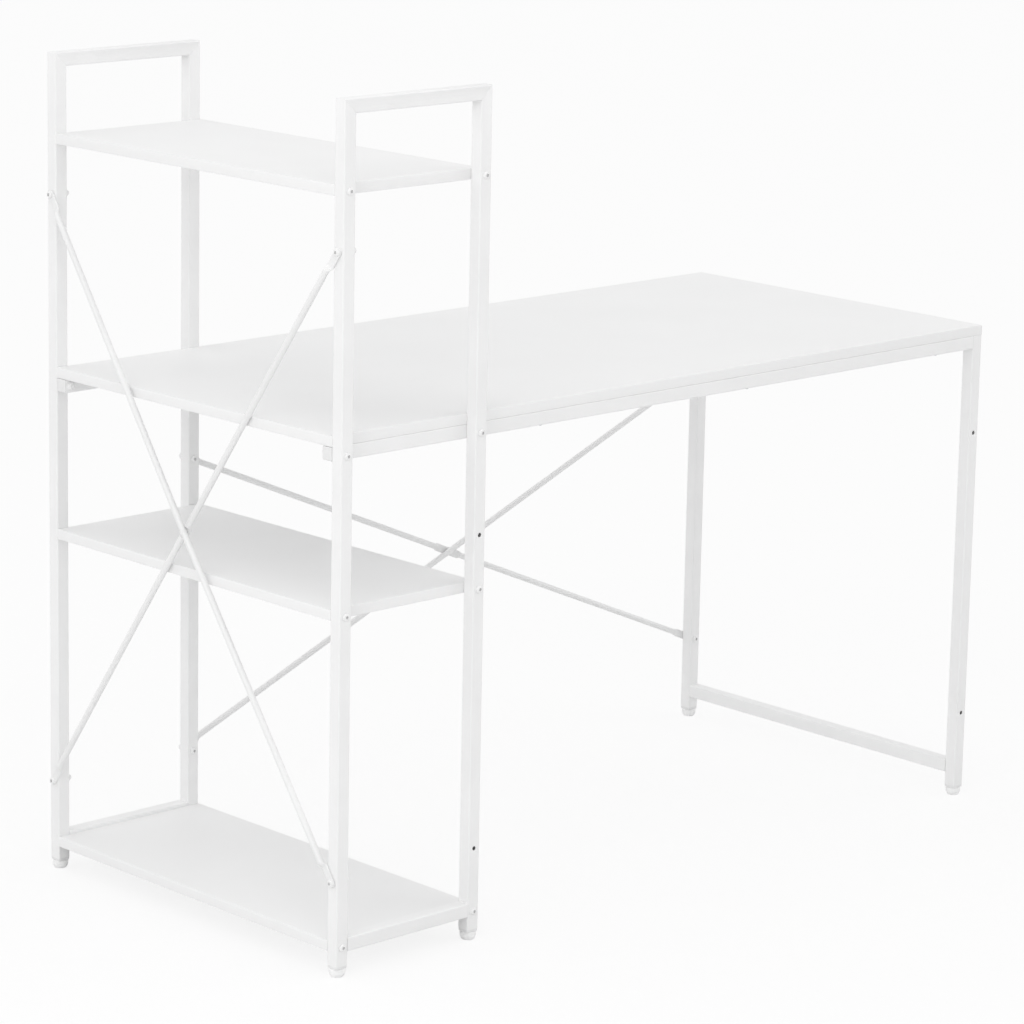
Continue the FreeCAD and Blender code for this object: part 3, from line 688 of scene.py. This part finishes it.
rail_bolt = button_bolt("rail_bolt_master", rail_bolt_length)
fit_fasteners("rail_button_bolts", "rail_bolts", rail_bolt, tower_seats(*post_faces, rail_height), 21)
leg_bolt = button_bolt("leg_bolt_master", leg_bolt_length)
leg_seats = [(Vector((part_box(name)[1].x, middle_of(name).y, rail_height)), into_left)
             for name in ("leg_front_post", "leg_back_post")]
fit_fasteners("leg_button_bolts", "leg_bolts", leg_bolt, leg_seats, 22)

nut_hexagon = hexagon(nut_width)
nut_corner = tan(radians(30))
nut_crown = lambda angle: nut_height - (nut_hexagon(angle) - 4.85 * mm) * nut_corner
flange_nut = turned("flange_nut_master",
                    [(3.1 * mm, 0.3 * mm), (3.4 * mm, 0), (6.3 * mm, 0), (6.5 * mm, 0.2 * mm),
                     (6.5 * mm, 0.7 * mm), (6.3 * mm, 1.0 * mm), (nut_hexagon, 1.6 * mm),
                     (nut_hexagon, nut_crown), (4.8 * mm, nut_height), (3.5 * mm, nut_height),
                     (3.1 * mm, nut_height - 0.4 * mm)], looped=True)
fit_fasteners("rail_flange_nuts", "rail_nuts", flange_nut, tower_seats(*rail_faces, rail_height), 23)

cross_recess = slot_shape(0.55 * mm, 2.1 * mm, 4)
desktop_screw = turned("desktop_screw_master",
                       [(0.7 * mm, -0.7 * mm), (slot_shape(0.35 * mm, 1.2 * mm, 4), -1.3 * mm),
                        (cross_recess, -2.4 * mm), (2.3 * mm, -2.4 * mm), (3.0 * mm, -2.25 * mm),
                        (3.6 * mm, -1.8 * mm), (3.95 * mm, -1.0 * mm), (4.0 * mm, -0.3 * mm), (3.9 * mm, 0),
                        (2.0 * mm, 0), (2.0 * mm, screw_length - 2 * mm), (0.3 * mm, screw_length)])
rail_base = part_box("front_long_rail")[0].z
screw_seats = [(Vector((x, middle_of(name).y, rail_base)), upwards)
               for name in rail_names for x in rail_screw_places]
screw_seats += [(Vector((middle_of("leg_top_rail").x, y, rail_base)), upwards) for y in leg_screw_places]
fit_fasteners("desktop_cross_screws", "desktop_screws", desktop_screw, screw_seats, 24, zinc)


# BRACES
# Two crossed pairs of 9 mm thin-walled round rods, pressed flat to 3 mm at their ends and, one of each pair,
# where they cross. Pressing keeps the skin's length, so the rod gets wider. Coated, bolted and riveted.
rod_diameter = 9 * mm
press_thickness = 3 * mm
press_run = 8 * mm
crossing_run = 2.5 * mm
tab_length = 24 * mm
end_axis = 4.9 * mm
bow_radius = 25 * mm
rod_steps = 8
ring_points = 40
brace_bolt_length = 28 * mm
rivet_head = 3.2 * mm
rivet_length = 12 * mm
dome_steps = 8

# The same powder coat with a smoother grain, painted a shade greyer than on the frame: painted shade for the
# dimmer light that falls on the rods.
rod_coat_painted_shade = surface("powder_coated_rod_painted_shade", coat_noises,
                   tint=(1, "#ededed", "#f0f0f0", noise_low, noise_high), gloss=coat_gloss,
                   grain=(0, 0.02, 0.12 * mm), skin={"IOR": 1.5})


def rod_ring(centre, across, outward, thickness, width_share=1.0):
    """Points round the rod where it is pressed to a thickness. Its skin keeps its length."""
    bend = thickness / 2
    half_level = pi * (rod_diameter - thickness) / 4
    points = []
    for index in range(ring_points):
        angle = (2 * index + 1) * pi / ring_points
        skin_run = rod_diameter / 2 * asin(abs(sin(angle)))
        turn = min(skin_run / bend, pi / 2)
        level_run = max(skin_run - bend * pi / 2, 0)
        side = copysign(half_level - level_run + bend * cos(turn), cos(angle))
        rise = copysign(bend * sin(turn), sin(angle))
        points.append(centre + across * side * width_share + outward * rise)
    return points


def eased(share):
    """A smooth step from nought to one."""
    return share * share * (3 - 2 * share)


def heading_between(hole, other, outward):
    """Direction from one hole to the other in the plane of the post's face."""
    run = other - hole
    return (run - outward * run.dot(outward)).normalized()


def tab_rings(hole, heading, across, outward, tip_first):
    """Rings of a pressed end, from its round tip to where the rod swells."""
    tip_radius = (pi * (rod_diameter - press_thickness) / 2 + press_thickness) / 2
    lift = outward * (press_thickness / 2)
    rings = []
    for step in range(1, rod_steps + 1):
        angle = step * pi / 2 / rod_steps
        centre = hole + lift - heading * (tip_radius * cos(angle))
        rings.append(rod_ring(centre, across, outward, press_thickness, sin(angle)))
    rings.append(rod_ring(hole + lift + heading * tab_length, across, outward, press_thickness))
    return rings if tip_first else rings[::-1]


def swell_rings(near, far):
    """Rings between two sections, each a centre, its directions and its thickness."""
    rings = []
    for step in range(1, rod_steps):
        share = step / rod_steps
        ease = eased(share)
        centre = near[0].lerp(far[0], share) + (far[0] - near[0]).project(far[2]) * (ease - share)
        across, outward = (near[part].lerp(far[part], ease).normalized() for part in (1, 2))
        rings.append(rod_ring(centre, across, outward, near[3] + (far[3] - near[3]) * ease))
    return rings


def brace_rod(name, hole_a, hole_b, outward, crossing_axis, flat_side=0, flat_half=0):
    """One rod; flat_side is 1 if its crossing is pressed outwards, -1 if inwards, 0 if it stays round."""
    heading_a = heading_between(hole_a, hole_b, outward)
    heading_b = heading_between(hole_b, hole_a, outward)
    start = hole_a + heading_a * (tab_length + press_run) + outward * end_axis
    finish = hole_b + heading_b * (tab_length + press_run) + outward * end_axis
    axis = (finish - start).normalized()
    normal = axis.cross(upwards).normalized()
    normal = normal if normal.dot(outward) > 0 else -normal
    across = normal.cross(axis)
    across_a, across_b = outward.cross(heading_a), heading_b.cross(outward)
    lift = outward * (press_thickness / 2)
    tab_a = (hole_a + heading_a * tab_length + lift, across_a, outward, press_thickness)
    tab_b = (hole_b + heading_b * tab_length + lift, across_b, outward, press_thickness)
    middle, half = (start + finish) / 2, (finish - start).length / 2

    def station(reach, thickness, press=0.0):
        """Section at a distance from the middle. The two halves run straight and bend round the crossing."""
        slack = (hypot(reach, bow_radius) - bow_radius) / (hypot(half, bow_radius) - bow_radius)
        bow = (crossing_axis - end_axis) * (1 - slack)
        return middle + axis * reach + normal * (bow + press), across, normal, thickness

    rings = tab_rings(hole_a, heading_a, across_a, outward, True)
    rings += swell_rings(tab_a, station(-half, rod_diameter))
    reaches = [half * step / rod_steps for step in range(-rod_steps, rod_steps + 1)]
    if flat_side:
        press = flat_side * (rod_diameter - press_thickness) / 2
        round_from = flat_half + crossing_run
        steady = [station(side * round_from, rod_diameter) for side in (-1, 1)]
        flat = [station(side * flat_half, press_thickness, press) for side in (-1, 1)]
        rings += [rod_ring(*station(reach, rod_diameter)) for reach in reaches if reach < -round_from]
        rings += [rod_ring(*steady[0])] + swell_rings(steady[0], flat[0]) + [rod_ring(*flat[0])]
        rings += [rod_ring(*flat[1])] + swell_rings(flat[1], steady[1]) + [rod_ring(*steady[1])]
        rings += [rod_ring(*station(reach, rod_diameter)) for reach in reaches if reach > round_from]
    else:
        rings += [rod_ring(*station(reach, rod_diameter)) for reach in reaches]
    rings += swell_rings(station(half, rod_diameter), tab_b)
    rings += tab_rings(hole_b, heading_b, across_b, outward, False)
    shape = bmesh.new()
    skinned(shape, rings)
    fitted(finished(name, shape, [rod_coat_painted_shade], crease=50), name + "_rod")
    return middle + normal * (crossing_axis - end_axis), normal


side_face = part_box("front_left_post")[0].x
front_axis, back_axis = middle_of("front_left_post").y, middle_of("back_left_post").y
tower_back, leg_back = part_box("back_right_post")[1].y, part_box("leg_back_post")[1].y
leg_axis = middle_of("leg_back_post").x
side_low, side_high = side_brace_heights
back_low, back_high = back_brace_heights
side_falling = [Vector((side_face, back_axis, side_high)), Vector((side_face, front_axis, side_low))]
side_rising = [Vector((side_face, back_axis, side_low)), Vector((side_face, front_axis, side_high))]
back_falling = [Vector((tower_axes[1], tower_back, back_low)), Vector((leg_axis, leg_back, back_high))]
back_rising = [Vector((tower_axes[1], tower_back, back_high)), Vector((leg_axis, leg_back, back_low))]

brace_bolt = button_bolt("brace_bolt_master", brace_bolt_length)
dome = [(4.5 * mm * cos(radians(10 * step)), 5.1 * mm + 4.4 * mm * sin(radians(10 * step)))
        for step in range(dome_steps + 1)]
cap_nut = turned("cap_nut_master",
                 [(4.7 * mm, 0), (nut_hexagon, lambda angle: (nut_hexagon(angle) - 4.7 * mm) * nut_corner),
                  (nut_hexagon, nut_crown), (4.8 * mm, nut_height)] + dome)
turns = [step * pi / 2 / dome_steps for step in range(1, dome_steps + 1)]
rivet_dome = [(rivet_head * sin(turn), -0.6 * mm * cos(turn)) for turn in turns]
rivet_foot = [(radius, rivet_length - height * 2) for radius, height in rivet_dome[-2::-1]]
rivet = turned("rivet_master",
               rivet_dome + [(rivet_head, 1.2 * mm), (2.5 * mm, 1.2 * mm), (2.5 * mm, rivet_length),
                             (rivet_head, rivet_length)] + rivet_foot)

# On the tower's side the round rod and the bolts' heads are outermost (1), on the back innermost (-1).
for name, falling, rising, outward, side, round_axis, pressed_axis, flat_half in (
        ("side", side_falling, side_rising, into_left, 1, 9.2 * mm, 6.2 * mm, 8 * mm),
        ("back", back_falling, back_rising, into_back, -1, 5 * mm, 8 * mm, 25 * mm)):
    middle, normal = brace_rod(name + "_brace_round", *falling, outward, round_axis)
    brace_rod(name + "_brace_pressed", *rising, outward, pressed_axis, -side, flat_half)
    head_face, nut_face = outward * press_thickness, outward * -tube_side
    if side < 0:
        head_face, nut_face = nut_face, head_face
    driven = outward * -side
    head_seats = [(hole + head_face, driven) for hole in falling + rising]
    nut_seats = [(hole + nut_face, driven) for hole in falling + rising]
    fit_fasteners(name + "_brace_button_bolts", name + "_brace_bolts", brace_bolt, head_seats, 31)
    fit_fasteners(name + "_brace_cap_nuts", name + "_brace_nuts", cap_nut, nut_seats, 32)
    crown = middle + normal * (side * rod_diameter / 2)
    fit_fasteners(name + "_brace_crossing_rivet", name + "_brace_rivet", rivet, [(crown, normal * -side)], 33)


# LEVELLING FEET
# A threaded plug closes the foot of each post, and a tapered pad of translucent white plastic, moulded on an M8
# zinc-plated stud, screws into it. The pads turn by hand to level the desk.
foot_names = ("tower_front_left", "tower_front_right", "tower_back_left", "tower_back_right",
              "leg_front", "leg_back")
thread_pitch = 1.25 * mm
thread_depth = 0.35 * mm
pitch_steps = 6
plug_corner = 3 * mm
pad_height = 12 * mm
pad_radius = 11.5 * mm
pad_taper = 3 * mm
pad_taper_height = 8 * mm
stud_length = 30 * mm
stud_bottom = 3 * mm
stud_radius = 4 * mm
threaded_bore = 4.1 * mm

# Natural white polypropylene, moulded smooth: milky, so that light spreads under its skin, with a soft shine.
foot_plastic = surface("polypropylene_translucent_white", [(260.0, 2.0, 0.5)], tint=(0, "#fafafa", "#fdfdfd"),
                       gloss=(0, 0.3, 0.4), grain=(0, 0.1, 0.08 * mm),
                       skin={"IOR": 1.49, "Subsurface Weight": 0.8, "Subsurface Scale": 4 * mm,
                             "Subsurface Radius": (1.0, 1.0, 1.0)})


def thread_radius(height):
    """Radius of a screw thread at a height, as a function of the angle."""
    def radius(angle):
        share = (height / thread_pitch - angle / (2 * pi)) % 1
        return stud_radius - thread_depth * abs(2 * share - 1)
    return radius


pad_heights = [height * mm for height in (0.35, 1, 2, 3, 4, 5, 6, 7, 8)]
pad_curve = [(pad_radius - pad_taper * (1 - height / pad_taper_height) ** 2.2, height)
             for height in pad_heights]
foot_pad = turned("foot_pad_master",
                  [(7.6 * mm, 0), (8.1 * mm, 0.1 * mm)] + pad_curve
                  + [(pad_radius, pad_height - 0.7 * mm), (pad_radius - 0.15 * mm, pad_height - 0.2 * mm),
                     (pad_radius - 0.6 * mm, pad_height), (threaded_bore, pad_height),
                     (threaded_bore, stud_bottom)])
stud_steps = [step * thread_pitch / pitch_steps
              for step in range(round(stud_length / thread_pitch * pitch_steps) + 1)]
foot_stud = turned("foot_stud_master",
                   [(3.4 * mm, 0)] + [(thread_radius(height), height) for height in stud_steps[1:-3]]
                   + [(3.3 * mm, stud_length)], steps=32)
for seed, name in enumerate(foot_names):
    x, y, _ = middle_of(name + "_foot_pad")
    fit_fasteners(name + "_pad", name + "_foot_pad", foot_pad, [(Vector((x, y, 0)), upwards)], seed + 41,
                  foot_plastic, name + "_foot")
    fit_fasteners(name + "_stud", name + "_foot_stud", foot_stud, [(Vector((x, y, stud_bottom)), upwards)],
                  seed + 51, zinc, name + "_foot")
    plug_low, plug_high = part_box(name + "_foot_plug")
    flange_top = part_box(name.removeprefix("tower_") + "_post")[0].z
    flange = section_points(tube_side / 2, plug_corner)
    sections = [(threaded_bore, None, plug_high.z), (threaded_bore, None, plug_low.z + 0.3 * mm),
                (4.4 * mm, None, plug_low.z), (tube_side / 2 - 0.8 * mm, plug_corner - 0.6 * mm, plug_low.z),
                (tube_side / 2 - 0.25 * mm, plug_corner - 0.2 * mm, plug_low.z + 0.2 * mm),
                (tube_side / 2, plug_corner, plug_low.z + 0.8 * mm),
                (tube_side / 2, plug_corner, flange_top - 0.2 * mm),
                (tube_side / 2 - 0.2 * mm, plug_corner, flange_top),
                (plug_core_half, tube_bore_corner, flange_top), (plug_core_half, tube_bore_corner, plug_high.z)]
    rings = []
    for half, corner, height in sections:
        if corner:
            outline = section_points(half, corner)
        else:
            outline = [point.normalized() * half for point in flange]
        rings.append([Vector((x + point.x, y + point.y, height)) for point in outline])
    shape = bmesh.new()
    skinned(shape, rings, closed=False)
    fitted(finished(name + "_plug", shape, [plug_plastic]), name + "_foot_plug")

for master in (shelf_bolt, barrel_nut, rail_bolt, leg_bolt, flange_nut, desktop_screw, brace_bolt, cap_nut,
               rivet, foot_pad, foot_stud):
    bpy.data.objects.remove(master)


# STUDIO
# A plain white floor that keeps the desk's faint shadows, a large soft box at the front left and broad, even
# light from the left, the right, above and behind. The camera looks down on the desk from its front left.
floor_reach = 30.0
floor_level = -0.3 * mm
glow_share = 0.82
glow_strength = 1.015
room_strength = 0.497
sky_spread = radians(52)


def seen_rays(tree):
    """One for the rays that show a thing to the camera: straight, in a shiny surface or through a clear one."""
    rays = add(tree, "ShaderNodeLightPath").outputs
    seen = rays["Is Camera Ray"]
    for kind in ("Is Glossy Ray", "Is Transmission Ray"):
        seen = add(tree, "ShaderNodeMath", {0: seen, 1: rays[kind]}, operation="MAXIMUM")
    return seen


floor_paint, tree = new_material("studio_floor_white")
place = add(tree, "ShaderNodeTexCoord").outputs["Object"]
mottle = add(tree, "ShaderNodeTexNoise", {"Vector": place, "Scale": 3.0, "Detail": 2.0, "Roughness": 0.5})
tint = add(tree, "ShaderNodeValToRGB", {"Fac": mottle})
tint.color_ramp.elements[0].color = linear("#f0f0f0")
tint.color_ramp.elements[1].color = linear("#f2f2f2")
paint = add(tree, "ShaderNodeBsdfDiffuse", {"Color": tint})
glow = add(tree, "ShaderNodeEmission", {"Color": linear("#ffffff"), "Strength": glow_strength})
blend = add(tree, "ShaderNodeMixShader", {0: glow_share, 1: paint, 2: glow})
chosen = add(tree, "ShaderNodeMixShader", {0: seen_rays(tree), 1: paint, 2: blend})
add(tree, "ShaderNodeOutputMaterial", {"Surface": chosen})
shape = bmesh.new()
shape.faces.new([shape.verts.new((floor_reach * x, floor_reach * y, floor_level))
                 for x, y in ((-1, -1), (1, -1), (1, 1), (-1, 1))])
finished("studio_floor", shape, [floor_paint])

world = bpy.data.worlds.new("studio")
bpy.context.scene.world = world
world.use_nodes = True
tree = world.node_tree
tree.nodes.clear()
room = add(tree, "ShaderNodeBackground", {"Color": linear("#ffffff"), "Strength": room_strength})
white = add(tree, "ShaderNodeBackground", {"Color": linear("#ffffff"), "Strength": 1.0})
chosen = add(tree, "ShaderNodeMixShader", {0: seen_rays(tree), 1: room, 2: white})
add(tree, "ShaderNodeOutputWorld", {"Surface": chosen})

for name, direction, strength in (
        ("left_sky", (-1, -0.15, 0.35), 0.618), ("right_sky", (0.9, -0.7, 0.6), 0.627),
        ("top_sky", (0, 0, 1), 0.361), ("back_sky", (-0.5, 0.8, 1), 0.447)):
    lamp = bpy.data.lights.new(name, "SUN")
    lamp.angle = sky_spread
    lamp.energy = strength
    linked(name, lamp).rotation_euler = Vector(direction).to_track_quat("Z", "Y").to_euler()
soft_box = bpy.data.lights.new("soft_box", "AREA")
soft_box.shape = "SQUARE"
soft_box.size = 3.0
soft_box.energy = 32.2
holder = linked("soft_box", soft_box)
holder.location = (-2.6, -2.6, 2.9)
holder.rotation_euler = (Vector((-0.3, 0, 0.6)) - holder.location).to_track_quat("-Z", "Y").to_euler()
holder.visible_camera = False

camera_data = bpy.data.cameras.new("camera")
camera_data.lens = 143.9519
camera_data.sensor_width = 36.0
camera_data.shift_x = 0.06
camera_data.shift_y = -0.06
camera = linked("camera", camera_data)
camera.location = (-4.126752, -4.301765, 1.882592)
camera.rotation_euler = (radians(77.74908), radians(-0.90549), radians(-42.48399))
bpy.context.scene.camera = camera
bpy.context.scene.view_settings.view_transform = "Standard"
